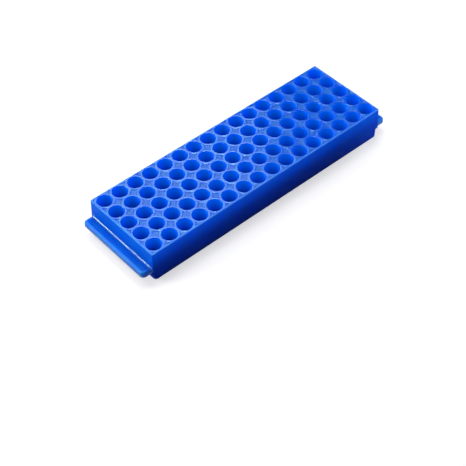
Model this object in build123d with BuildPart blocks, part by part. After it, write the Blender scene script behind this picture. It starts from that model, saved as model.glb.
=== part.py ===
from build123d import *
import os
from math import radians, tan

# Microcentrifuge tube rack: 5 rows of 16 blind wells, moulded in one piece.
# Millimetres. +X runs along the 16 columns, +Y across the 5 rows, +Z is up.
# The origin is on the surface it stands on, under the middle of the deck.

# ---- wells -----------------------------------------------------------------
columns = 16
rows = 5
well_diameter = 11.0  # takes the 10.8 mm barrel of a 1.5 or 2 ml tube
well_web = 2.0  # least plastic between two neighbouring wells
well_floor = 1.2  # thickness of a cup's flat floor
floor_lift = 1.0  # clear height under the cups
mouth_round = 0.3  # round on the rim inside each mouth
cup_join = 0.15  # how far a cup's outside reaches past its cell, into the next cup
rim_join = 0.1  # the same for the raised ring round each mouth

# ---- deck and walls --------------------------------------------------------
height = 25.4  # base to the top of the rims
deck_border = 0.5  # from the outermost cells to the deck's edge
deck_thickness = 1.8
border_rim = 0.9  # flat strip along the deck's edge
pad_recess = 0.35  # how far the pads between the rings lie below them
skirt_wall = 1.5
hollow_corner = 3.0  # the corner cups close the hollow's corners with this
draft_angle = 1.5  # of the outer walls, both ways from the parting height
end_step = 1.0  # the end walls are set in by this below the flanges
deck_corner = 1.2
base_corner = 2.5
deck_edge_round = 0.6
base_edge_round = 0.8

# ---- carrying flanges, one at each end -------------------------------------
flange_reach = 8.5  # out from the deck's edge
flange_inset = 0.75  # in from the deck's long sides
flange_top = 12.0  # above the base
flange_lip = 4.0  # height of the turned-down lip
flange_skin = 1.8  # thickness of the flange and of its lip
flange_corner = 3.0
flange_edge_round = 2.0
root_round = 1.2  # inside round where the flange leaves the end wall

# ---- worked out from the above ---------------------------------------------
pitch = well_diameter + well_web
deck_length = columns * pitch + 2 * deck_border
deck_width = rows * pitch + 2 * deck_border
overall_length = deck_length + 2 * flange_reach
flange_width = deck_width - 2 * flange_inset
parting = flange_top - flange_lip  # height where the draft turns over
upper_flare = (height - parting) * tan(radians(draft_angle))
lower_flare = parting * tan(radians(draft_angle))
parting_length = deck_length + 2 * upper_flare
parting_width = deck_width + 2 * upper_flare
foot_length = parting_length - 2 * end_step
hollow_length = foot_length - 2 * (lower_flare + skirt_wall)
hollow_width = parting_width - 2 * (lower_flare + skirt_wall)
deck_underside = height - pad_recess - deck_thickness
well_bottom = floor_lift + well_floor
well_radius = well_diameter / 2
rim_radius = pitch / 2 + rim_join
cup_radius = pitch / 2 + cup_join
near = 0.01  # reach of the selectors that pick edges by their height

# ---- the flanges, as one slab through the rack with a hollowed lip ---------
with BuildPart() as flanges:
    with BuildSketch(Plane.XY.offset(parting)):
        RectangleRounded(overall_length, flange_width, flange_corner)
    extrude(amount=flange_lip)
    fillet(flanges.faces().sort_by(Axis.Z)[-1].edges(), flange_edge_round)

    with BuildSketch(Plane.XY.offset(parting)):
        RectangleRounded(
            overall_length - 2 * flange_skin,
            flange_width - 2 * flange_skin,
            flange_corner - flange_skin,
        )
        Rectangle(parting_length, flange_width, mode=Mode.SUBTRACT)
    extrude(amount=flange_lip - flange_skin, mode=Mode.SUBTRACT)

# ---- the whole rack --------------------------------------------------------
with BuildPart() as rack:
    # outer block, drafted inwards above and below the parting height
    with BuildSketch(Plane.XY.offset(parting)):
        RectangleRounded(parting_length, parting_width, deck_corner + upper_flare)
    extrude(amount=height - parting, taper=draft_angle)
    with BuildSketch(Plane.XY.offset(parting)):
        RectangleRounded(foot_length, parting_width, base_corner + lower_flare)
    extrude(amount=-parting, taper=draft_angle)
    fillet(rack.faces().sort_by(Axis.Z)[-1].edges(), deck_edge_round)
    fillet(rack.faces().sort_by(Axis.Z)[0].edges(), base_edge_round)

    # flanges, with a soft root against the end walls
    add(flanges.part)
    roots = (
        rack.edges()
        .filter_by(Axis.Y)
        .filter_by_position(Axis.Z, flange_top - near, flange_top + near)
    )
    fillet(roots, root_round)

    # underside: hollow round the cups, then the clear height under them
    with BuildSketch():
        RectangleRounded(hollow_length, hollow_width, hollow_corner)
        with GridLocations(pitch, pitch, columns, rows):
            Circle(cup_radius, mode=Mode.SUBTRACT)
    extrude(amount=deck_underside, mode=Mode.SUBTRACT)
    with BuildSketch():
        RectangleRounded(hollow_length, hollow_width, hollow_corner)
    extrude(amount=floor_lift, mode=Mode.SUBTRACT)

    # pads, sunk between the raised rings
    with BuildSketch(Plane.XY.offset(height)):
        Rectangle(deck_length - 2 * border_rim, deck_width - 2 * border_rim)
        with GridLocations(pitch, pitch, columns, rows):
            Circle(rim_radius, mode=Mode.SUBTRACT)
    extrude(amount=-pad_recess, mode=Mode.SUBTRACT)

    # wells, with a rounded mouth
    with BuildSketch(Plane.XY.offset(well_bottom)):
        with GridLocations(pitch, pitch, columns, rows):
            Circle(well_radius)
    extrude(amount=height - well_bottom, mode=Mode.SUBTRACT)
    mouths = (
        rack.edges()
        .filter_by(GeomType.CIRCLE)
        .filter_by_position(Axis.Z, height - near, height + near)
        .filter_by(lambda edge: abs(edge.radius - well_radius) < near)
    )
    fillet(mouths, mouth_round)

rack.part.label = "tube_rack"
os.makedirs("parts", exist_ok=True)
export_step(rack.part, "parts/tube_rack.step")
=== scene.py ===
"""Looks of a microcentrifuge tube rack: one moulding of translucent blue polypropylene.

The rack stands on its base with its long side along X. Where nothing else is said, lengths are
in millimetres, which MM turns into the scene's metres, and angles are in degrees.
"""

from __future__ import annotations

import logging
import math
from dataclasses import dataclass, field, replace
from enum import Enum
from typing import Iterable, Sequence

import bmesh
import bpy
from mathutils import Matrix, Vector
from mathutils.geometry import tessellate_polygon

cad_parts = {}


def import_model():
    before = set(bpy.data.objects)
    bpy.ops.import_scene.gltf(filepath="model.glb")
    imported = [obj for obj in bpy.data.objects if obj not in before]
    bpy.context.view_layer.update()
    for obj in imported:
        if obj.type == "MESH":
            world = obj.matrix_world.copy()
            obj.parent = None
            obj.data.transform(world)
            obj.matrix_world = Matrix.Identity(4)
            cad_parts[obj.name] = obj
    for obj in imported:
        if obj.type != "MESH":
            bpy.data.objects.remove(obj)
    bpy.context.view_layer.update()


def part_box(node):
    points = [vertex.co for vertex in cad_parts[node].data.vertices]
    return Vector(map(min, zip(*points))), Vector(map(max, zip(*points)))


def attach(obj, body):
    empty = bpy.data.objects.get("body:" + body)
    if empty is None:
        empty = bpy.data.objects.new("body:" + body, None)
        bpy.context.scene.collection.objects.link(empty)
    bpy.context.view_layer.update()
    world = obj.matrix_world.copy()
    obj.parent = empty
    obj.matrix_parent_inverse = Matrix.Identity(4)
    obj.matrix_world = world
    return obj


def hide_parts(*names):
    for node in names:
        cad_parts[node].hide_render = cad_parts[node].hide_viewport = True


MM = 0.001
NODE = "tube_rack"
BODY = "root"

log = logging.getLogger("tube_rack")

Flat = tuple[float, float]
Point = tuple[float, float, float]
Colour = tuple[float, float, float]
Cell = tuple[int, int]
Feed = bpy.types.NodeSocket | Colour | float

# The sides that an end or a long side may be on: 1 is +X or +Y, -1 is -X or -Y.
BOTH_SIDES = (1, -1)

# Corners of the ledge that are nearer than this, in millimetres, are one.
LEDGE_GAP = 1e-4

# Numbers of the Mix node's sockets, whose names are not unique.
MIX_SHARE, MIX_FIRST, MIX_SECOND, MIX_RESULT = 0, 6, 7, 2

# The effects. Sizes are in millimetres or shares of an effect's own size. A range is the two
# noise values between which an effect goes from none to whole.
CLOUD_SIZE, CLOUD_SHARE, CLOUD_DETAIL, CLOUD_RANGE = 22.0, 0.1, 3.0, (0.35, 0.65)
FINE_GRAIN, FINE_SHARE, PIT_RANGE = 0.4, 0.5, (0.8, 0.62)
DARK, WHITE = (0.0, 0.0, 0.0), (1.0, 1.0, 1.0)
PIT_COLOUR = (0.015, 0.1, 0.4)
SCRATCH_STRETCH, SCRATCH_RANGE = 30.0, (0.66, 0.74)
SCRATCH_TURNS = ((0.0, 0.0, 0.4), (0.6, 0.0, -0.7), (0.0, 0.5, 1.3))
PATCH_SIZE, PATCH_RANGE = 2.5, (0.45, 0.6)
MARK_SIZE, MARK_FADE, MARK_ROUGHNESS = 9.0, 0.12, 0.25
MARK_COLOUR = (0.1, 0.3, 1.0)


# Sizes


@dataclass(frozen=True)
class RackSizes:
    """Sizes of the rack, in millimetres, as the solid model has them."""

    columns: int = 16
    rows: int = 5
    well_diameter: float = 11.0
    well_web: float = 2.0
    well_floor: float = 1.2
    floor_lift: float = 1.0
    mouth_round: float = 0.3
    cup_join: float = 0.15
    rim_join: float = 0.1
    height: float = 25.4
    deck_border: float = 0.5
    deck_thickness: float = 1.8
    border_rim: float = 0.9
    pad_recess: float = 0.35
    pad_slope: float = 0.75
    skirt_wall: float = 1.5
    hollow_corner: float = 3.0
    draft: float = 1.5
    end_step: float = 1.0
    wall_corner: float = 1.0
    base_corner: float = 2.5
    deck_edge_round: float = 0.6
    base_edge_round: float = 0.8
    flange_reach: float = 8.5
    flange_inset: float = 0.75
    flange_top: float = 12.0
    flange_lip: float = 4.0
    flange_skin: float = 1.8
    flange_corner: float = 3.0
    flange_edge_round: float = 2.0
    root_round: float = 1.2
    root_round_side: float = 0.12

    @classmethod
    def fitting(cls, low: Vector, high: Vector) -> RackSizes:
        """Sizes with the height and the overall length of the solid model.

        Args:
            low: Lowest corner of the solid model's box, in metres.
            high: Its highest corner.

        Returns:
            The sizes.
        """
        plain = cls()
        reach = (high.x - low.x) / MM / 2 - plain.deck_half[0]
        return replace(plain, height=(high.z - low.z) / MM, flange_reach=reach)

    @property
    def pitch(self) -> float:
        """Distance between neighbouring well centres."""
        return self.well_diameter + self.well_web

    @property
    def well_radius(self) -> float:
        """Radius of a well."""
        return self.well_diameter / 2

    @property
    def rim_radius(self) -> float:
        """Outer radius of the raised ring round a mouth."""
        return self.pitch / 2 + self.rim_join

    @property
    def cup_radius(self) -> float:
        """Outer radius of a cup below the deck."""
        return self.pitch / 2 + self.cup_join

    @property
    def last_centre(self) -> Flat:
        """Centre of the well in the +X, +Y corner."""
        return (self.columns - 1) * self.pitch / 2, (self.rows - 1) * self.pitch / 2

    @property
    def deck_half(self) -> Flat:
        """Half length and half width of the deck at its top."""
        grown = self.pitch / 2 + self.deck_border
        return self.last_centre[0] + grown, self.last_centre[1] + grown

    @property
    def border_half(self) -> Flat:
        """Half length and half width inside the deck's raised border."""
        return grow(self.deck_half, -self.border_rim)

    @property
    def slope(self) -> float:
        """How far a drafted wall leans out for each unit of height."""
        return math.tan(math.radians(self.draft))

    @property
    def parting(self) -> float:
        """Height at which the walls' draft turns over."""
        return self.flange_top - self.flange_lip

    @property
    def foot_half(self) -> Flat:
        """Half length and half width of the foot just below the parting height."""
        half = self.wall_half(self.parting)
        return half[0] - self.end_step, half[1]

    @property
    def base_half(self) -> Flat:
        """Half length and half width of the base, before its edge is rounded."""
        return grow(self.foot_half, -self.parting * self.slope)

    @property
    def hollow_half(self) -> Flat:
        """Half length and half width of the hollow under the rack."""
        return grow(self.base_half, -self.skirt_wall)

    @property
    def corner_start(self) -> float:
        """Place along X where the foot's corners start."""
        return self.base_half[0] - self.base_corner

    def wall_half(self, z: float) -> Flat:
        """Half length and half width of the upper walls at a height."""
        return grow(self.deck_half, (self.height - z) * self.slope)


# Points in plan


def grow(half: Flat, amount: float) -> Flat:
    """Half length and half width of an outline that is moved outwards."""
    return half[0] + amount, half[1] + amount


def around(centre: Flat, radius: float, bearings: Iterable[float]) -> list[Flat]:
    """Points at a radius round a centre, one at each bearing, in radians."""
    return [(centre[0] + radius * math.cos(a), centre[1] + radius * math.sin(a)) for a in bearings]


def arc(centre: Flat, radius: float, start: float, turn: float, steps: int) -> list[Flat]:
    """Points along an arc, both ends included; its start and its turn are in degrees."""
    bearings = [math.radians(start + turn * n / steps) for n in range(steps + 1)]
    return around(centre, radius, bearings)


def quarter_turn(steps: int) -> list[float]:
    """Angles, in radians, that part a quarter turn into equal steps, both ends included."""
    return [math.radians(90 * n / steps) for n in range(steps + 1)]


def rounding(radius: float, steps: int) -> list[Flat]:
    """How far a rounded edge's points lie from the face that it ends on and from its first face."""
    return [(radius * (1 - math.sin(a)), radius * (1 - math.cos(a))) for a in quarter_turn(steps)]


def at_height(plan: Iterable[Flat], z: float) -> list[Point]:
    """Points in plan, lifted to a height."""
    return [(x, y, z) for x, y in plan]


def turned(points: Iterable[Point], side: int) -> list[Point]:
    """Points of the +X end, turned half round for the -X end where side is -1."""
    return [(side * x, side * y, z) for x, y, z in points]


def corner_arc(half: Flat, radius: float, quarter: int, steps: int) -> list[Flat]:
    """One corner of a rounded rectangle, anticlockwise.

    Args:
        half: Half the rectangle's length and half its width.
        radius: The corner's radius.
        quarter: Which corner, from 0 at +X, +Y anticlockwise.
        steps: How many chords it has.

    Returns:
        The corner's points.
    """
    side_x = 1 if quarter in (0, 3) else -1
    side_y = 1 if quarter in (0, 1) else -1
    centre = (side_x * (half[0] - radius), side_y * (half[1] - radius))
    return arc(centre, radius, 90 * quarter, 90, steps)


def end_corners(half: Flat, radius: float, steps: int) -> list[Flat]:
    """Both corners at the +X end of a rounded rectangle, from -Y to +Y."""
    return [*corner_arc(half, radius, 3, steps), *corner_arc(half, radius, 0, steps)]


@dataclass(frozen=True)
class Stations:
    """Where the outlines of a rounded block have points, so that they can be joined by quads.

    Attributes:
        along: Places of the points on the long sides, along X.
        across: Places of the points on the ends, along Y.
        corner_steps: Chords in each corner.
    """

    along: tuple[float, ...] = ()
    across: tuple[float, ...] = ()
    corner_steps: int = 8

    def long_side(self, half: Flat, radius: float, side: int) -> list[Flat]:
        """A long side with the corners at both its ends, anticlockwise.

        Args:
            half: Half the outline's length and half its width.
            radius: The corners' radius.
            side: 1 for the +Y side, -1 for the -Y side.

        Returns:
            The side's points.
        """
        quarter = 0 if side > 0 else 2
        middle = [(side * place, side * half[1]) for place in sorted(self.along, reverse=True)]
        return [
            *corner_arc(half, radius, quarter, self.corner_steps),
            *middle,
            *corner_arc(half, radius, quarter + 1, self.corner_steps),
        ]

    def end(self, half: Flat, side: int) -> list[Flat]:
        """The points of an end between its corners, anticlockwise; side is 1 for the +X end."""
        return [(side * half[0], side * place) for place in sorted(self.across)]

    def outline(self, half: Flat, radius: float) -> list[Flat]:
        """The whole outline, anticlockwise from the start of the +X, +Y corner.

        Args:
            half: Half the outline's length and half its width.
            radius: The corners' radius.

        Returns:
            The outline's points.
        """
        return [
            *self.long_side(half, radius, 1),
            *self.end(half, -1),
            *self.long_side(half, radius, -1),
            *self.end(half, 1),
        ]


# Objects


def add_object(name: str, data: bpy.types.ID) -> bpy.types.Object:
    """Makes an object and links it to the scene.

    Args:
        name: The object's name.
        data: Its mesh, light or camera.

    Returns:
        The object.
    """
    made = bpy.data.objects.new(name, data)
    bpy.context.scene.collection.objects.link(made)
    return made


# The shell: faces with a finish each, welded into one mesh


class Finish(Enum):
    """Surfaces of the moulding that the mould leaves with a texture of their own."""

    WALL = "rack_wall"
    END = "rack_end"
    ROOT = "rack_root"
    RIM = "rack_rim"
    PAD = "rack_pad"
    WELL = "rack_well"
    EDGE = "rack_edge"
    UNDERSIDE = "rack_underside"


@dataclass
class Shell:
    """Collects the faces of a closed surface and makes one mesh object of them.

    Attributes:
        same_point: How far apart two points may be and still count as one, in millimetres.
        sharp_angle: Angle between two faces from which their edge is sharp, in degrees.
        points: The corners of all the faces.
        faces: The numbers of each face's corners.
        finishes: The finish of each face.
    """

    same_point: float = 0.0005
    sharp_angle: float = 32.0
    points: list[Point] = field(default_factory=list)
    faces: list[tuple[int, ...]] = field(default_factory=list)
    finishes: list[Finish] = field(default_factory=list)

    def face(self, corners: Sequence[Point], finish: Finish) -> None:
        """Adds one face, leaving out corners that fall on the one before.

        Args:
            corners: The face's corners, anticlockwise seen from outside.
            finish: The finish of the face.
        """
        ring = [p for n, p in enumerate(corners) if math.dist(p, corners[n - 1]) > self.same_point]
        if len(ring) > 2:
            start = len(self.points)
            self.points += ring
            self.faces.append(tuple(range(start, start + len(ring))))
            self.finishes.append(finish)

    def strip(self, rows: Sequence[Sequence[Point]], finish: Finish, closed: bool = True) -> None:
        """Joins each of several rows of as many points to the next with quads.

        The quads look towards the cross product of a row's direction and the step to the next.

        Args:
            rows: The rows.
            finish: The finish of the quads.
            closed: Whether the rows are loops.
        """
        for first, second in zip(rows, rows[1:]):
            count = len(first)
            for n in range(count if closed else count - 1):
                m = (n + 1) % count
                self.face((first[n], first[m], second[m], second[n]), finish)

    def level_area(self, loops: Sequence[Sequence[Point]], finish: Finish) -> None:
        """Fills a level area that looks down and may have holes.

        Args:
            loops: The outline, then the outline of each hole.
            finish: The finish of the area.
        """
        corners = [point for loop in loops for point in loop]
        for triangle in tessellate_polygon([[Vector(p) for p in loop] for loop in loops]):
            a, b, c = (corners[n] for n in triangle)
            turn = (b[0] - a[0]) * (c[1] - a[1]) - (b[1] - a[1]) * (c[0] - a[0])
            self.face((c, b, a) if turn > 0 else (a, b, c), finish)

    def build(self, name: str, materials: dict[Finish, bpy.types.Material]) -> bpy.types.Object:
        """Welds the faces and makes the object.

        Args:
            name: The object's name.
            materials: The material of each finish.

        Returns:
            The new object, linked to the scene.
        """
        mesh = bpy.data.meshes.new(name)
        mesh.from_pydata([[value * MM for value in point] for point in self.points], [], self.faces)
        order = list(materials)
        for finish in order:
            mesh.materials.append(materials[finish])
        mesh.polygons.foreach_set("material_index", [order.index(f) for f in self.finishes])
        work = bmesh.new()
        work.from_mesh(mesh)
        bmesh.ops.remove_doubles(work, verts=work.verts, dist=2 * self.same_point * MM)
        open_edges = sum(not edge.is_manifold for edge in work.edges)
        volume = work.calc_volume(signed=True) / MM**3
        work.to_mesh(mesh)
        work.free()
        mesh.shade_smooth()
        mesh.set_sharp_from_angle(angle=math.radians(self.sharp_angle))
        log.info("%s: %d faces, %d open edges, %.0f mm3", name, len(mesh.polygons), open_edges, volume)
        piece = add_object(name, mesh)
        piece.modifiers.new("weighted_normals", "WEIGHTED_NORMAL").keep_sharp = True
        return piece


# Parts of the moulding


@dataclass
class Part:
    """A part of the moulding.

    Attributes:
        sizes: The rack's sizes.
        shell: The shell that takes the faces.
    """

    sizes: RackSizes
    shell: Shell

    def build(self) -> None:
        """Adds the part's faces to the shell."""
        raise NotImplementedError


@dataclass
class WellGrid(Part):
    """The deck's wells with their rings and pads, and the cups below them.

    A cell is the square round one well, and it is known by the well's column and row. A gap
    between wells is known by the cell to its lower left, which may lie outside the grid. The
    quarters of a cell count from 0 between +X and +Y, anticlockwise.

    Attributes:
        arc_steps: Chords of a ring's edge along one pad.
        neck_steps: Chords on half the neck between two rings.
        border_steps: Chords on half of the line where a ring runs into the border.
        round_steps: Chords in each mouth's round.
        shoulder_steps: Chords in the shoulder between a ring and a pad.
    """

    arc_steps: int = 12
    neck_steps: int = 2
    border_steps: int = 4
    round_steps: int = 4
    shoulder_steps: int = 5

    @property
    def ring_border(self) -> Flat:
        """Distance from an outer well's centre to the border, along X and along Y."""
        return self.border_reach(self.sizes.border_half)

    @property
    def station_share(self) -> float:
        """How far along the border, from a corner ring to the corner, the foot's corner starts."""
        s = self.sizes
        ring_end = s.last_centre[0] + math.sqrt(s.rim_radius**2 - self.ring_border[1] ** 2)
        return (s.corner_start - ring_end) / (s.border_half[0] - ring_end)

    def border_reach(self, half: Flat) -> Flat:
        """Distance from an outer well's centre to an outline, along X and along Y."""
        return half[0] - self.sizes.last_centre[0], half[1] - self.sizes.last_centre[1]

    def beside_wells(self, count: int, offsets: Sequence[float]) -> tuple[float, ...]:
        """Places at each offset from each of the wells in a line of so many."""
        first = (count - 1) / 2
        return tuple((n - first) * self.sizes.pitch + out for n in range(count) for out in offsets)

    def border_stations(self) -> Stations:
        """Where the rings, and the foot's corners below them, ask for points on the border.

        Returns:
            The stations.
        """
        s = self.sizes
        reach = math.sqrt(s.rim_radius**2 - self.ring_border[0] ** 2)
        spread = range(-self.border_steps, self.border_steps + 1)
        offsets = [reach * m / self.border_steps for m in spread]
        along = self.beside_wells(s.columns, offsets)
        return Stations((*along, -s.corner_start, s.corner_start), self.beside_wells(s.rows, offsets))

    def hollow_stations(self) -> Stations:
        """Where the hollow's outline has a point because a cup runs into the skirt.

        Returns:
            The stations.
        """
        s = self.sizes
        border = self.border_reach(s.hollow_half)
        out_x, out_y = (math.sqrt(s.cup_radius**2 - border[axis] ** 2) for axis in (1, 0))
        along = self.beside_wells(s.columns, (-out_x, out_x))
        across = self.beside_wells(s.rows, (-out_y, out_y))
        return Stations(along[1:-1], across[1:-1])

    def cells(self) -> list[Cell]:
        """The cell of each well."""
        return [(c, r) for c in range(self.sizes.columns) for r in range(self.sizes.rows)]

    def gaps(self) -> list[Cell]:
        """The cell to the lower left of each gap, the outermost gaps included."""
        return [(c, r) for c in range(-1, self.sizes.columns) for r in range(-1, self.sizes.rows)]

    def centre(self, cell: Cell) -> Flat:
        """Centre of a well in plan."""
        s = self.sizes
        return cell[0] * s.pitch - s.last_centre[0], cell[1] * s.pitch - s.last_centre[1]

    def at_border(self, cell: Cell) -> tuple[bool, bool, bool, bool]:
        """Whether each side of a cell is the deck's border, from the +X side anticlockwise."""
        column, row = cell
        return column == self.sizes.columns - 1, row == self.sizes.rows - 1, column == 0, row == 0

    def sides(self, cell: Cell, border: Flat) -> list[float]:
        """Distance from a well to each side of its cell, given that to the border along X and Y."""
        outer = self.at_border(cell)
        return [border[n % 2] if outer[n] else self.sizes.pitch / 2 for n in range(4)]

    def place(self, cell: Cell, quarter: int, points: Iterable[Flat]) -> list[Flat]:
        """Points of one quarter of a cell, turned and moved to where the cell is.

        Args:
            cell: The cell.
            quarter: The quarter.
            points: The points as they are in quarter 0 of a cell at the origin.

        Returns:
            The points in plan.
        """
        x0, y0 = self.centre(cell)
        cos_t, sin_t = ((1, 0), (0, 1), (-1, 0), (0, -1))[quarter]
        return [(x0 + x * cos_t - y * sin_t, y0 + x * sin_t + y * cos_t) for x, y in points]

    def ring_arc(self, cell: Cell, quarter: int, radius: float, border: Flat) -> list[Flat]:
        """Arc of a ring or cup in one quarter of its cell, between the cell's sides.

        Args:
            cell: The cell.
            quarter: The quarter.
            radius: The arc's radius.
            border: The distance to the border, along X and along Y.

        Returns:
            The arc's points, anticlockwise round the well.
        """
        sides = self.sides(cell, border)
        first = math.degrees(math.acos(sides[quarter] / radius))
        last = math.degrees(math.asin(sides[(quarter + 1) % 4] / radius))
        return self.place(cell, quarter, arc((0, 0), radius, first, last - first, self.arc_steps))

    def ring_outline(self, cell: Cell) -> list[Flat]:
        """Outline of the flat on a ring, cut off by its cell's sides.

        Args:
            cell: The ring's cell.

        Returns:
            The outline's points, anticlockwise.
        """
        radius = self.sizes.rim_radius
        sides = self.sides(cell, self.ring_border)
        outer = self.at_border(cell)
        outline: list[Flat] = []
        for quarter in range(4):
            after = (quarter + 1) % 4
            reach = [math.sqrt(radius**2 - sides[n] ** 2) for n in (quarter, after)]
            steps = [self.border_steps if outer[n] else self.neck_steps for n in (quarter, after)]
            near = [(sides[quarter], reach[0] * n / steps[0]) for n in range(steps[0])]
            far = [(reach[1] * (1 - n / steps[1]), sides[after]) for n in range(1, steps[1])]
            outline += self.place(cell, quarter, near)
            outline += self.ring_arc(cell, quarter, radius, self.ring_border)
            outline += self.place(cell, quarter, far)
        return outline

    def build(self) -> None:
        """Builds the wells, the pads and the cups."""
        self.build_wells()
        self.build_pads()
        self.build_cups()

    def build_wells(self) -> None:
        """Builds each ring's flat top, its rounded mouth, the well's wall and its floor."""
        s = self.sizes
        for cell in self.cells():
            centre = self.centre(cell)
            outline = self.ring_outline(cell)
            bearings = [math.atan2(y - centre[1], x - centre[0]) for x, y in outline]
            loops = [at_height(outline, s.height)]
            for out, drop in rounding(s.mouth_round, self.round_steps):
                ring = around(centre, s.well_radius + out, bearings)
                loops.append(at_height(ring, s.height - drop))
            self.shell.strip(loops, Finish.RIM)
            floor = at_height(around(centre, s.well_radius, bearings), s.floor_lift + s.well_floor)
            self.shell.strip([loops[-1], floor], Finish.WELL)
            self.shell.face(floor, Finish.WELL)

    def gap_arcs(self, gap: Cell, radius: float, border: Flat) -> list[list[Flat]]:
        """Arcs of the rings or cups that face a gap, clockwise round the gap.

        Args:
            gap: The gap.
            radius: The arcs' radius.
            border: The distance to the border, along X and along Y.

        Returns:
            An arc for each well beside the gap.
        """
        column, row = gap
        beside = [(column, row), (column, row + 1), (column + 1, row + 1), (column + 1, row)]
        cells = set(self.cells())
        facing = [(cell, -n % 4) for n, cell in enumerate(beside) if cell in cells]
        return [self.ring_arc(cell, quarter, radius, border) for cell, quarter in facing]

    def pad_outline(self, gap: Cell, growth: float) -> list[Flat]:
        """Outline of a gap between rings that are grown by an amount.

        Args:
            gap: The gap.
            growth: How much further out than a ring's flat the outline lies.

        Returns:
            The outline's points, anticlockwise.
        """
        half = grow(self.sizes.border_half, -growth)
        arcs = self.gap_arcs(gap, self.sizes.rim_radius + growth, self.border_reach(half))
        outline = [point for part in arcs for point in part]
        if len(arcs) == 1:
            side_x, side_y = (1 if place >= 0 else -1 for place in gap)
            corner = (side_x * half[0], side_y * half[1])
            ring_end = max(outline[0], outline[-1], key=lambda point: abs(point[1]))
            along = self.station_share
            station = (ring_end[0] * (1 - along) + corner[0] * along, corner[1])
            outline += [station, corner] if side_x == side_y else [corner, station]
        return outline[::-1]

    def build_pads(self) -> None:
        """Builds the sunk pads between the rings and the soft shoulders round them."""
        s = self.sizes
        for gap in self.gaps():
            loops = []
            for a in quarter_turn(self.shoulder_steps):
                outline = self.pad_outline(gap, s.pad_slope * math.sin(a))
                loops.append(at_height(outline, s.height - s.pad_recess * (1 - math.cos(a))))
            self.shell.strip(loops, Finish.RIM)
            self.shell.face(loops[-1], Finish.PAD)

    def build_cups(self) -> None:
        """Builds the cups' outsides and floors and the deck's underside between them."""
        s, shell = self.sizes, self.shell
        border = self.border_reach(s.hollow_half)
        steps = self.hollow_stations().corner_steps
        for gap in self.gaps():
            arcs = self.gap_arcs(gap, s.cup_radius, border)
            if len(arcs) > 1:
                outline = [point for part in arcs for point in part]
                high = at_height(outline, s.height - s.pad_recess - s.deck_thickness)
                shell.strip([at_height(outline, s.floor_lift), high], Finish.UNDERSIDE)
                shell.face(high, Finish.UNDERSIDE)
        for cell in self.cells():
            outer = self.at_border(cell)
            outline = []
            for quarter in range(4):
                if outer[quarter] and outer[(quarter + 1) % 4]:
                    outline += corner_arc(s.hollow_half, s.hollow_corner, quarter, steps)
                else:
                    outline += self.ring_arc(cell, quarter, s.cup_radius, border)
            shell.face(at_height(outline[::-1], s.floor_lift), Finish.UNDERSIDE)


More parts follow.
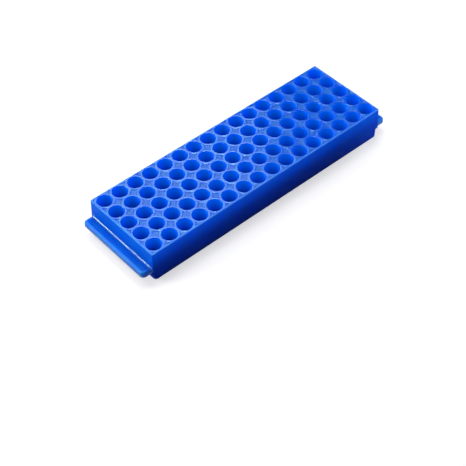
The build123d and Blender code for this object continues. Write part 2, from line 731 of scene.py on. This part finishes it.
@dataclass
class Walls(Part):
    """The deck's edge, the drafted walls and the foot that the rack stands on.

    Attributes:
        flange: The flange that the end walls and the ledges meet.
        stations: Where the upper outlines have points.
        hollow: Where the hollow's outline has points.
        round_steps: Chords in each rounded edge.
    """

    flange: Flange
    stations: Stations
    hollow: Stations
    round_steps: int = 5

    @property
    def wall_top(self) -> float:
        """Height at which the walls run into the deck's rounded edge."""
        return self.sizes.height - self.sizes.deck_edge_round

    def foot_corner(self, z: float) -> float:
        """Radius of the foot's corners at a height."""
        return self.sizes.base_corner + z * self.sizes.slope

    def build(self) -> None:
        """Builds all the walls."""
        self.build_deck_edge()
        self.build_long_walls()
        self.build_foot()
        self.build_end_walls()
        self.build_ledges()

    def build_deck_edge(self) -> None:
        """Builds the deck's flat border and its rounded edge."""
        s = self.sizes
        loops = [at_height(self.stations.outline(s.border_half, 0.0), s.height)]
        for inset, drop in rounding(s.deck_edge_round, self.round_steps):
            z = s.height - drop
            plan = self.stations.outline(grow(s.wall_half(z), -inset), s.wall_corner - inset)
            loops.append(at_height(plan, z))
        self.shell.strip(loops[::-1], Finish.EDGE)

    def build_long_walls(self) -> None:
        """Builds the upper walls of the long sides, with the corners at their ends."""
        s = self.sizes
        for side in BOTH_SIDES:
            rows = [
                at_height(self.stations.long_side(s.wall_half(z), s.wall_corner, side), z)
                for z in (s.parting, self.wall_top)
            ]
            self.shell.strip(rows, Finish.WALL, closed=False)

    def build_foot(self) -> None:
        """Builds the foot's walls, its rounded edge, the rim it stands on and the hollow's edge."""
        s, shell = self.sizes, self.shell
        stations = replace(self.stations, across=())
        loops = []
        for z, inset in [(s.parting, 0.0), *rounding(s.base_edge_round, self.round_steps)]:
            half = grow(s.base_half, z * s.slope - inset)
            loops.append(at_height(stations.outline(half, self.foot_corner(z) - inset), z))
        shell.strip(loops[::-1], Finish.WALL)
        hollow = self.hollow.outline(s.hollow_half, s.hollow_corner)
        lip = [at_height(hollow, s.floor_lift), at_height(hollow, 0.0)]
        shell.level_area([loops[-1], lip[1]], Finish.UNDERSIDE)
        shell.strip(lip, Finish.UNDERSIDE)

    def build_end_walls(self) -> None:
        """Builds the wall of each end, round the root of its flange."""
        s = self.sizes
        low, high = (
            [(s.wall_half(z)[0], way * (s.wall_half(z)[1] - s.wall_corner), z) for way in (-1, 1)]
            for z in (s.parting, self.wall_top)
        )
        between = at_height(self.stations.end(s.wall_half(self.wall_top), 1), self.wall_top)
        corners = [low[0], *self.flange.root_rows()[-1], low[1], high[1], *between[::-1], high[0]]
        for side in BOTH_SIDES:
            self.shell.face(turned(corners, side), Finish.END)

    def build_ledges(self) -> None:
        """Builds the faces at the parting height between the foot and each flange's lip."""
        s = self.sizes
        steps = self.stations.corner_steps
        wall = at_height(end_corners(s.wall_half(s.parting), s.wall_corner, steps), s.parting)
        foot = at_height(end_corners(s.foot_half, self.foot_corner(s.parting), steps), s.parting)
        roots = self.flange.root_rows()
        outline = [
            *wall[: steps + 1],
            *(row[0] for row in reversed(roots)),
            *self.flange.outer_rows()[0],
            *(row[-1] for row in roots),
            *wall[steps + 1 :],
            *foot[::-1],
        ]
        clean = [p for n, p in enumerate(outline) if math.dist(p, outline[n - 1]) > LEDGE_GAP]
        loops = [clean, self.flange.pocket_outline(s.parting)]
        for side in BOTH_SIDES:
            self.shell.level_area([turned(loop, side) for loop in loops], Finish.WALL)


@dataclass
class Flange(Part):
    """The hollow flange on each end of the rack, worked out for the +X end.

    Attributes:
        round_steps: Chords in the round along the flange's edge.
        corner_steps: Chords in each corner in plan.
        root_steps: Chords in the round along the flange's root.
    """

    round_steps: int = 8
    corner_steps: int = 10
    root_steps: int = 5

    @property
    def half(self) -> Flat:
        """Place of the flange's outer face along X, and half its width."""
        s = self.sizes
        return s.deck_half[0] + s.flange_reach, s.deck_half[1] - s.flange_inset

    def levels(self) -> list[tuple[float, float, float]]:
        """Inset, height and lean of the flange's side from its lip up to its flat top.

        Returns:
            The three for each level.
        """
        edge = self.sizes.flange_edge_round
        low = self.sizes.flange_top - edge
        turns = quarter_turn(self.round_steps)
        rounded = [(edge * (1 - math.cos(a)), low + edge * math.sin(a), a) for a in turns]
        return [(0.0, self.sizes.parting, 0.0), *rounded]

    def root_radius(self, lean: float) -> float:
        """Radius of the root's round where the flange's side leans by an angle, in radians."""
        s = self.sizes
        return s.root_round_side + (s.root_round - s.root_round_side) * math.sin(lean) ** 2

    def root_rows(self) -> list[list[Point]]:
        """Rows of points on the root's round, from the flange out to the wall.

        Returns:
            The rows, each from the flange's -Y side over its top to its +Y side.
        """
        s = self.sizes
        stations = [(-1, *level) for level in self.levels()]
        stations += [(1, *level) for level in reversed(self.levels())]
        rows = []
        for out, rise in rounding(1.0, self.root_steps):
            row = []
            for side, inset, z, lean in stations:
                radius = self.root_radius(lean)
                height = z + radius * rise * math.sin(lean)
                y = side * (self.half[1] - inset + radius * rise * math.cos(lean))
                row.append((s.wall_half(height)[0] + radius * out, y, height))
            rows.append(row)
        return rows

    def outer_rows(self) -> list[list[Point]]:
        """Rows of points round the flange's outside, from its lip up to its flat top.

        Returns:
            The rows, each from the -Y side round the outer face to the +Y side.
        """
        root = self.root_rows()[0]
        rows = []
        for n, (inset, z, _) in enumerate(self.levels()):
            radius = self.sizes.flange_corner - inset
            plan = end_corners(grow(self.half, -inset), radius, self.corner_steps)
            rows.append([root[n], *at_height(plan, z), root[-1 - n]])
        return rows

    def pocket_outline(self, z: float) -> list[Point]:
        """Outline of the pocket under the flange at a height.

        Args:
            z: The height.

        Returns:
            The outline's points, anticlockwise.
        """
        s = self.sizes
        half = grow(self.half, -s.flange_skin)
        corners = end_corners(half, s.flange_corner - s.flange_skin, self.corner_steps)
        inner = s.wall_half(s.parting)[0]
        return at_height([(inner, -half[1]), *corners, (inner, half[1])], z)

    def build(self) -> None:
        """Builds each flange's root, its outside and the pocket under it."""
        s, shell = self.sizes, self.shell
        for side in BOTH_SIDES:
            shell.strip([turned(row, side) for row in self.root_rows()], Finish.ROOT, closed=False)
            rows = [turned(row, side) for row in self.outer_rows()]
            shell.strip(rows, Finish.EDGE, closed=False)
            shell.face(rows[-1], Finish.END)
            heights = (s.flange_top - s.flange_skin, s.parting)
            pocket = [turned(self.pocket_outline(z), side) for z in heights]
            shell.strip(pocket, Finish.UNDERSIDE)
            shell.face(pocket[0][::-1], Finish.UNDERSIDE)


# Shader nodes


@dataclass(frozen=True)
class Wiring:
    """Adds nodes to a node tree and links them.

    Attributes:
        tree: The node tree.
    """

    tree: bpy.types.NodeTree

    def feed(self, socket: bpy.types.NodeSocket, value: Feed) -> None:
        """Links a socket to another node's output, or sets its value.

        Args:
            socket: The socket.
            value: The output, or the value.
        """
        if isinstance(value, bpy.types.NodeSocket):
            self.tree.links.new(value, socket)
        else:
            socket.default_value = (*value, 1.0) if socket.type == "RGBA" else value

    def fill(self, node: bpy.types.Node, inputs: dict[str | int, Feed]) -> None:
        """Gives a node's input sockets, by name or by number, what they are to have."""
        for name, value in inputs.items():
            self.feed(node.inputs[name], value)

    def add(
        self, kind: str, inputs: dict[str | int, Feed] | None = None, **settings: object
    ) -> bpy.types.Node:
        """Adds a node.

        Args:
            kind: The node's type, without the "ShaderNode" that it starts with.
            inputs: What its input sockets get, by name or by number.
            settings: Its other settings.

        Returns:
            The node.
        """
        node = self.tree.nodes.new("ShaderNode" + kind)
        for name, value in settings.items():
            setattr(node, name, value)
        self.fill(node, inputs or {})
        return node

    def math(self, operation: str, *values: Feed) -> bpy.types.NodeSocket:
        """Adds a Math node and returns its output."""
        return self.add("Math", dict(enumerate(values)), operation=operation).outputs[0]

    def mapped(self, value: Feed, low: Feed, high: Feed, to: Flat = (0.0, 1.0)) -> bpy.types.NodeSocket:
        """Stretches the range from low to high over another range and clamps it."""
        inputs = {"Value": value, "From Min": low, "From Max": high, "To Min": to[0], "To Max": to[1]}
        return self.add("MapRange", inputs).outputs[0]

    def mixed(self, share: Feed, first: Feed, second: Feed) -> bpy.types.NodeSocket:
        """Adds a Mix node that goes from one colour to another and returns its output."""
        inputs = {MIX_SHARE: share, MIX_FIRST: first, MIX_SECOND: second}
        return self.add("Mix", inputs, data_type="RGBA").outputs[MIX_RESULT]

    def place(self) -> bpy.types.NodeSocket:
        """Adds a Texture Coordinate node and returns the place on the object, in metres."""
        return self.add("TexCoord").outputs["Object"]

    def noise(self, place: Feed, size: Feed, detail: float = 2.0) -> bpy.types.NodeSocket:
        """Adds a noise of features of a size, in metres, and returns its value, about 0.5."""
        scale = self.math("DIVIDE", 1.0, size)
        return self.add("TexNoise", {"Vector": place, "Scale": scale, "Detail": detail}).outputs[0]


@dataclass(frozen=True)
class Effect:
    """A shader node group that several materials share.

    Attributes:
        name: The group's name.
        inputs: Each input's name and the type of its socket.
        outputs: Each output's name and the type of its socket.
    """

    name: str
    inputs: dict[str, str]
    outputs: dict[str, str]

    def open(self) -> tuple[Wiring, bpy.types.NodeInputs, bpy.types.NodeOutputs]:
        """Makes the empty group.

        Returns:
            Its wiring, the sockets of the Group Output node and those of the Group Input node.
        """
        tree = bpy.data.node_groups.new(self.name, "ShaderNodeTree")
        for sockets, way in ((self.inputs, "INPUT"), (self.outputs, "OUTPUT")):
            for socket, kind in sockets.items():
                tree.interface.new_socket(name=socket, in_out=way, socket_type=kind)
        given = tree.nodes.new("NodeGroupInput")
        result = tree.nodes.new("NodeGroupOutput")
        return Wiring(tree), result.inputs, given.outputs

    def use(self, wiring: Wiring, inputs: dict[str, Feed]) -> bpy.types.NodeOutputs:
        """Places the group in a material, gives it its inputs and returns its outputs."""
        return wiring.add("Group", inputs, node_tree=bpy.data.node_groups[self.name]).outputs


FLOAT = "NodeSocketFloat"
COLOUR = "NodeSocketColor"
DEPTH_FADE = Effect(
    "depth_fade",
    {"Top": COLOUR, "Middle": COLOUR, "Bottom": COLOUR, "Height": FLOAT, "Turn": FLOAT, "Foot": FLOAT},
    {"Colour": COLOUR},
)
MELT_CLOUD = Effect(
    "melt_cloud", {"Colour": COLOUR, "Share": FLOAT, "Size": FLOAT}, {"Colour": COLOUR}
)
MOULD_GRAIN = Effect("mould_grain", {"Size": FLOAT}, {"Height": FLOAT, "Pits": FLOAT})
HANDLING_MARKS = Effect("handling_marks", {"Size": FLOAT, "Share": FLOAT}, {"Marks": FLOAT})


def build_depth_fade() -> None:
    """Makes the group whose colour goes from one at the deck to another at the base."""
    wiring, result, given = DEPTH_FADE.open()
    height = wiring.add("SeparateXYZ", {0: wiring.place()}).outputs["Z"]
    share = wiring.math("DIVIDE", height, given["Height"])
    rise = wiring.mapped(share, given["Foot"], given["Turn"])
    lower = wiring.mixed(rise, given["Bottom"], given["Middle"])
    upper = wiring.mixed(wiring.mapped(share, given["Turn"], 1.0), lower, given["Top"])
    wiring.feed(result["Colour"], upper)


def build_melt_cloud() -> None:
    """Makes the group that lets a colour drift, as pigment does in a melt."""
    wiring, result, given = MELT_CLOUD.open()
    cloud = wiring.mapped(wiring.noise(wiring.place(), given["Size"], CLOUD_DETAIL), *CLOUD_RANGE)
    share = wiring.math("MULTIPLY", cloud, given["Share"])
    wiring.feed(result["Colour"], wiring.mixed(share, given["Colour"], DARK))


def build_mould_grain() -> None:
    """Makes the group for the fine grain that the mould leaves."""
    wiring, result, given = MOULD_GRAIN.open()
    place = wiring.place()
    coarse = wiring.noise(place, given["Size"], 1.0)
    fine = wiring.noise(place, wiring.math("MULTIPLY", given["Size"], FINE_GRAIN), 1.0)
    height = wiring.math("MULTIPLY_ADD", fine, FINE_SHARE, coarse)
    wiring.feed(result["Height"], height)
    wiring.feed(result["Pits"], wiring.mapped(height, *PIT_RANGE))


def build_handling_marks() -> None:
    """Makes the group for the faint scratches of use, which lie in patches."""
    wiring, result, given = HANDLING_MARKS.open()
    place = wiring.place()
    lines: Feed = 0.0
    for turn in SCRATCH_TURNS:
        along = {"Vector": place, "Rotation": turn, "Scale": (1.0, SCRATCH_STRETCH, SCRATCH_STRETCH)}
        drawn = wiring.noise(wiring.add("Mapping", along).outputs[0], given["Size"], 1.0)
        lines = wiring.math("MAXIMUM", lines, wiring.mapped(drawn, *SCRATCH_RANGE))
    patchy = wiring.noise(place, wiring.math("MULTIPLY", given["Size"], PATCH_SIZE))
    patch = wiring.mapped(patchy, *PATCH_RANGE)
    marks = wiring.math("MULTIPLY", lines, patch)
    wiring.feed(result["Marks"], wiring.math("MULTIPLY", marks, given["Share"]))


# Materials


@dataclass(frozen=True)
class Fade:
    """A colour that changes with height.

    Attributes:
        top: The colour at the deck.
        middle: The colour between.
        bottom: The colour at the base.
        turn: Where the middle colour lies, as a share of the height.
        foot: Where the bottom colour is reached, as a share of the height.
    """

    top: Colour
    middle: Colour
    bottom: Colour
    turn: float = 0.5
    foot: float = 0.0

    @classmethod
    def flat(cls, colour: Colour) -> Fade:
        """A fade of one colour."""
        return cls(colour, colour, colour)

    def use(self, wiring: Wiring, height: float) -> bpy.types.NodeSocket:
        """Places the fade in a material and returns its colour; height is in metres."""
        inputs = {name.capitalize(): value for name, value in vars(self).items()}
        return DEPTH_FADE.use(wiring, inputs | {"Height": height})["Colour"]


@dataclass(frozen=True)
class Plastic:
    """One finish of the polypropylene.

    Attributes:
        tint: The plastic's colour, in some finishes with painted shade that darkens it away from the
            deck.
        roughness: Roughness where the surface is untouched.
        specular: Specular level.
        grain: Height of the mould's grain, in millimetres.
        grain_size: Size of a grain, in millimetres.
        pitted: How much darker the grain's pits are.
        marked: How strong the marks of handling are.
        gloss: Colour of what the surface reflects.
        glow: Painted glow, an emission that stands in for light coming through the plastic from the
            deck.
        radius: How far red, green and blue light travel in the plastic, in millimetres.
    """

    tint: Fade
    roughness: float
    specular: float
    grain: float
    grain_size: float
    pitted: float = 0.1
    marked: float = 0.5
    gloss: Colour = WHITE
    glow: Fade | None = None
    radius: Colour = (0.4, 2.0, 6.0)

    def make(self, name: str, height: float) -> bpy.types.Material:
        """Makes the finish's material.

        Args:
            name: The material's name.
            height: The rack's height, in metres.

        Returns:
            The material.
        """
        material = bpy.data.materials.new(name)
        material.use_nodes = True
        wiring = Wiring(material.node_tree)
        shader = material.node_tree.nodes["Principled BSDF"]
        tint = self.tint.use(wiring, height)
        grain = MOULD_GRAIN.use(wiring, {"Size": self.grain_size * MM})
        marking = {"Size": MARK_SIZE * MM, "Share": self.marked}
        marks = HANDLING_MARKS.use(wiring, marking)["Marks"]
        clouding = {"Colour": tint, "Share": CLOUD_SHARE, "Size": CLOUD_SIZE * MM}
        cloud = MELT_CLOUD.use(wiring, clouding)["Colour"]
        pits = wiring.math("MULTIPLY", grain["Pits"], self.pitted)
        pitted = wiring.mixed(pits, cloud, PIT_COLOUR)
        faded = wiring.math("MULTIPLY", marks, MARK_FADE)
        rough = wiring.math("MULTIPLY_ADD", marks, MARK_ROUGHNESS, self.roughness)
        bump = wiring.add("Bump", {"Height": grain["Height"], "Distance": self.grain * MM})
        inputs = {
            "Base Color": wiring.mixed(faded, pitted, MARK_COLOUR),
            "Roughness": rough,
            "Normal": bump.outputs[0],
            "Specular IOR Level": self.specular,
            "Specular Tint": self.gloss,
            "Subsurface Weight": 1.0,
            "Subsurface Radius": self.radius,
            "Subsurface Scale": MM,
        }
        # Painted glow: the emission stands in for light that the plastic passes from the deck.
        if self.glow:
            inputs |= {"Emission Color": self.glow.use(wiring, height), "Emission Strength": 1.0}
        wiring.fill(shader, inputs)
        return material


# Painted shade: this blue darkens from the deck down to the base, standing in for light that enters the
# plastic at the deck.
BLUE_SHADED_TO_BASE = Fade(top=(0.002, 0.15, 0.9), middle=(0.002, 0.1, 0.88), bottom=(0.001, 0.05, 0.85))
BLUE_GLOSS = (0.45, 0.76, 1.0)
PALE_GLOSS = (0.72, 0.92, 1.0)
# Walls: the blue shaded towards the base, and a painted glow at their top below the deck.
WALL_PLASTIC = Plastic(
    tint=BLUE_SHADED_TO_BASE,
    glow=Fade(top=(0.0, 0.035, 0.42), middle=(0.0, 0.0, 0.07), bottom=DARK),
    roughness=0.4,
    specular=0.01,
    grain=0.003,
    grain_size=0.6,
    marked=0.6,
    radius=(0.2, 1.0, 2.5),
)
RIM_PLASTIC = Plastic(
    tint=Fade.flat((0.002, 0.13, 0.81)),
    gloss=BLUE_GLOSS,
    roughness=0.11,
    specular=1.0,
    grain=0.001,
    grain_size=1.5,
    marked=0.2,
)
PLASTICS = {
    Finish.WALL: WALL_PLASTIC,
    # End walls and flange tops: painted shade that darkens them towards the flange and the base, and a
    # painted glow below the deck.
    Finish.END: replace(
        WALL_PLASTIC,
        tint=Fade((0.002, 0.14, 0.76), (0.002, 0.125, 0.88), (0.001, 0.11, 0.25), turn=0.7),
        glow=Fade(top=(0.0, 0.03, 0.2), middle=(0.0, 0.001, 0.02), bottom=DARK),
        specular=0.02,
    ),
    Finish.ROOT: replace(
        RIM_PLASTIC, tint=Fade.flat((0.01, 0.17, 0.8)), gloss=PALE_GLOSS, roughness=0.1
    ),
    Finish.RIM: RIM_PLASTIC,
    Finish.PAD: Plastic(
        tint=Fade.flat((0.003, 0.16, 0.8)),
        gloss=PALE_GLOSS,
        roughness=0.25,
        specular=0.38,
        grain=0.035,
        grain_size=1.0,
        pitted=0.4,
    ),
    # Wells: painted shade that darkens them with depth, and a painted glow near the mouth.
    Finish.WELL: Plastic(
        tint=Fade((0.002, 0.125, 0.88), (0.001, 0.04, 0.92), (0.001, 0.015, 0.5), turn=0.62, foot=0.46),
        glow=Fade(top=(0.0, 0.08, 0.36), middle=DARK, bottom=DARK),
        roughness=0.35,
        specular=0.1,
        grain=0.002,
        grain_size=0.6,
        marked=0.2,
    ),
    # Rounded edges: a paler blue than the walls as a painted highlight, and a painted glow along the
    # deck's edge.
    Finish.EDGE: Plastic(
        tint=Fade(top=(0.03, 0.25, 0.9), middle=(0.015, 0.22, 0.87), bottom=(0.01, 0.2, 0.85)),
        glow=Fade(top=(0.02, 0.05, 0.16), middle=DARK, bottom=DARK, turn=0.85),
        gloss=BLUE_GLOSS,
        roughness=0.3,
        specular=0.24,
        grain=0.002,
        grain_size=1.0,
        marked=0.6,
    ),
    Finish.UNDERSIDE: Plastic(
        tint=BLUE_SHADED_TO_BASE, roughness=0.45, specular=0.3, grain=0.01, grain_size=0.7
    ),
}


def make_plastics(height: float) -> dict[Finish, bpy.types.Material]:
    """Makes the shared effects and the material of each finish.

    Args:
        height: The rack's height, in metres.

    Returns:
        The materials.
    """
    for build in (build_depth_fade, build_melt_cloud, build_mould_grain, build_handling_marks):
        build()
    return {finish: plastic.make(finish.value, height) for finish, plastic in PLASTICS.items()}


# The rack


@dataclass
class TubeRack:
    """The whole moulding.

    Attributes:
        sizes: The rack's sizes.
    """

    sizes: RackSizes

    def build(self) -> bpy.types.Object:
        """Builds the moulding and hides the solid model that it stands for.

        Returns:
            The rack's object.
        """
        shell = Shell()
        grid = WellGrid(self.sizes, shell)
        flange = Flange(self.sizes, shell)
        stations = (grid.border_stations(), grid.hollow_stations())
        for part in (grid, Walls(self.sizes, shell, flange, *stations), flange):
            part.build()
        piece = shell.build("rack_moulding", make_plastics(self.sizes.height * MM))
        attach(piece, BODY)
        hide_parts(NODE)
        return piece


# The studio


@dataclass(frozen=True)
class Softbox:
    """An area light that looks at a point.

    Attributes:
        name: The light's name.
        place: Where it hangs, in millimetres.
        aim: What it looks at, in millimetres.
        size: Its width and height, in millimetres.
        power: Its power in watts.
        spread: How wide its light spreads, in degrees.
    """

    name: str
    place: Point
    aim: Point
    size: Flat
    power: float
    spread: float = 180.0

    def build(self) -> None:
        """Adds the light to the scene."""
        data = bpy.data.lights.new(self.name, "AREA")
        data.shape = "RECTANGLE"
        data.size, data.size_y = (value * MM for value in self.size)
        data.energy = self.power
        data.spread = math.radians(self.spread)
        light = add_object(self.name, data)
        light.visible_camera = False
        place, aim = Vector(self.place) * MM, Vector(self.aim) * MM
        light.location = place
        light.rotation_euler = (aim - place).to_track_quat("-Z", "Y").to_euler()


SOFTBOXES = (
    Softbox("sheen", (412, 754, 1000), (0, 0, 0), (540, 400), 2.0),
    Softbox("overhead", (165, 200, 950), (0, 0, 0), (300, 300), 4.0),
    Softbox("key", (-350, 350, 900), (0, 0, 0), (600, 600), 4.0),
    Softbox("side", (-820, 520, 400), (-110, 0, 12), (380, 300), 5.0),
    Softbox("end", (166, -82, 50), (121, -33, 12), (48, 32), 0.0034, spread=40.0),
)


@dataclass(frozen=True)
class Studio:
    """Camera, lights, and a floor that turns up into a backdrop, the sweep, all round.

    The camera's lengths are in millimetres, those of the floor and the sweep in metres, and all
    angles in degrees.

    Attributes:
        aim: Point that the camera looks at.
        azimuth: Bearing that the camera stands at, as the views count it.
        elevation: Height of the camera above the horizon.
        roll: How far the camera leans to the right.
        distance: From the camera to the aim.
        lens: Focal length.
        sensor: Width of the sensor.
        sight: How far the camera sees, in metres.
        room_light: Strength of the light from all round.
        paper: Colour of the backdrop where it is seen.
        paper_hidden: Its colour for the light that it throws on the rack.
        paper_glow: How much the backdrop is lifted beside the rack, where 1 is white.
        white_from: Distances over which the lift grows to 1, in metres.
        floor_middle: Radius of the innermost ring of the floor.
        floor_radius: Radius of the level floor.
        sweep_round: Radius at which the floor turns up.
        sweep_height: Height of the backdrop.
        sweep_steps: Chords in the turn.
        sweep_sides: Chords all round.
    """

    aim: Point = (-53.25, -52.9, 25.4)
    azimuth: float = -41.137
    elevation: float = 47.536
    roll: float = -0.579
    distance: float = 762.56
    lens: float = 90.864
    sensor: float = 36.0
    sight: float = 100.0
    room_light: float = 0.18
    paper: Colour = (0.5, 0.5, 0.5)
    paper_hidden: Colour = (0.2, 0.2, 0.2)
    paper_glow: float = 0.6
    white_from: Flat = (0.3, 1.5)
    floor_middle: float = 0.05
    floor_radius: float = 4.0
    sweep_round: float = 1.0
    sweep_height: float = 2.5
    sweep_steps: int = 8
    sweep_sides: int = 48

    def build_camera(self) -> None:
        """Adds the camera."""
        data = bpy.data.cameras.new("camera")
        data.sensor_width = self.sensor
        data.lens = self.lens
        data.clip_end = self.sight
        camera = add_object("camera", data)
        bearing, rise = math.radians(self.azimuth), math.radians(self.elevation)
        level = math.cos(rise)
        back = Vector((math.sin(bearing) * level, -math.cos(bearing) * level, math.sin(rise)))
        camera.location = (Vector(self.aim) + back * self.distance) * MM
        turn = (-back).to_track_quat("-Z", "Y").to_matrix().to_4x4()
        lean = Matrix.Rotation(math.radians(self.roll), 4, "Z")
        camera.rotation_euler = (turn @ lean).to_euler()
        bpy.context.scene.camera = camera

    def build_backdrop(self) -> None:
        """Adds the floor and the sweep that it turns up into all round."""
        mesh = bpy.data.meshes.new("sweep")
        work = bmesh.new()
        rings = [(self.floor_middle, 0.0), (self.floor_radius, 0.0)]
        for n in range(1, self.sweep_steps + 1):
            a = math.radians(90 * n / self.sweep_steps)
            reach = self.floor_radius + self.sweep_round * math.sin(a)
            rings.append((reach, self.sweep_round * (1 - math.cos(a))))
        rings.append((rings[-1][0], self.sweep_height))
        loops = []
        for radius, z in rings:
            circle = arc((0.0, 0.0), radius, 0, 360, self.sweep_sides)[:-1]
            loops.append([work.verts.new(point) for point in at_height(circle, z)])
        work.faces.new(loops[0])
        for inner, outer in zip(loops, loops[1:]):
            for n in range(self.sweep_sides):
                m = (n + 1) % self.sweep_sides
                work.faces.new((inner[n], outer[n], outer[m], inner[m]))
        work.to_mesh(mesh)
        work.free()
        mesh.shade_smooth()
        mesh.materials.append(self.make_backdrop_paper())
        add_object("sweep", mesh)

    def make_backdrop_paper(self) -> bpy.types.Material:
        """Makes the backdrop's white, which shows shadows but throws little light back.

        Returns:
            The material.
        """
        material = bpy.data.materials.new("backdrop_paper")
        material.use_nodes = True
        wiring = Wiring(material.node_tree)
        shader = material.node_tree.nodes["Principled BSDF"]
        path = wiring.add("LightPath").outputs
        seen = wiring.math("MAXIMUM", path["Is Camera Ray"], path["Is Glossy Ray"])
        seen = wiring.math("MAXIMUM", seen, path["Is Transmission Ray"])
        distance = wiring.add("VectorMath", {0: wiring.place()}, operation="LENGTH").outputs["Value"]
        white = wiring.mapped(distance, *self.white_from, to=(self.paper_glow, 1.0))
        inputs = {
            "Base Color": wiring.mixed(seen, self.paper_hidden, self.paper),
            "Emission Strength": wiring.math("MULTIPLY", seen, white),
            "Emission Color": WHITE,
            "Specular IOR Level": 0.0,
            "Roughness": 1.0,
        }
        wiring.fill(shader, inputs)
        return material

    def build_world(self) -> None:
        """Adds the soft light that comes from all round."""
        world = bpy.data.worlds.new("studio")
        bpy.context.scene.world = world
        world.use_nodes = True
        background = world.node_tree.nodes["Background"]
        Wiring(world.node_tree).fill(background, {"Color": WHITE, "Strength": self.room_light})

    def build(self) -> None:
        """Builds the whole studio."""
        self.build_camera()
        self.build_backdrop()
        self.build_world()
        for softbox in SOFTBOXES:
            softbox.build()
        bpy.context.scene.view_settings.view_transform = "Standard"


def main() -> None:
    """Builds the rack and its studio."""
    logging.basicConfig(level=logging.INFO, format="%(name)s: %(message)s")
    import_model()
    Studio().build()
    rack = TubeRack(RackSizes.fitting(*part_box(NODE))).build()
    log.info("%s stands for %s", rack.name, NODE)


if __name__ == "__main__":
    main()
